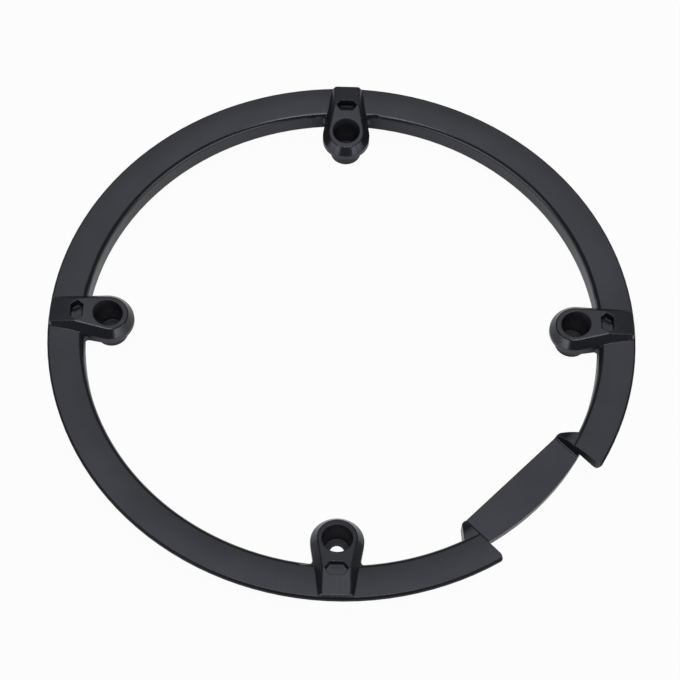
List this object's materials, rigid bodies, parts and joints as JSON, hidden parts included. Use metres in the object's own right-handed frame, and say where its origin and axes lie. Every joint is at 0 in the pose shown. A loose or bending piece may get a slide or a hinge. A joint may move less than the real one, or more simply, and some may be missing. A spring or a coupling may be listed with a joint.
{
  "type": "chainring guard",
  "caption": "Flat plastic ring that covers a bicycle chainring's teeth, with inward screw tabs on standoffs and a lowered notch for the crank arm.",
  "frame": {"origin": "ring's axis, in the plane of the four standoffs' lower faces, where the guard stands on the chainring", "axes": "+Z along the ring's axis, away from the chainring towards the rider's foot; the screw tabs lie on +X, -X, +Y and -Y; the crank-arm notch lies half way between +X and -Y"},
  "size_m": [0.188, 0.188, 0.0142],
  "materials": {
    "plastic": "satin moulded"
  },
  "bodies": {
    "root": {"chainring_guard": "plastic"}
  },
  "joints": []
}
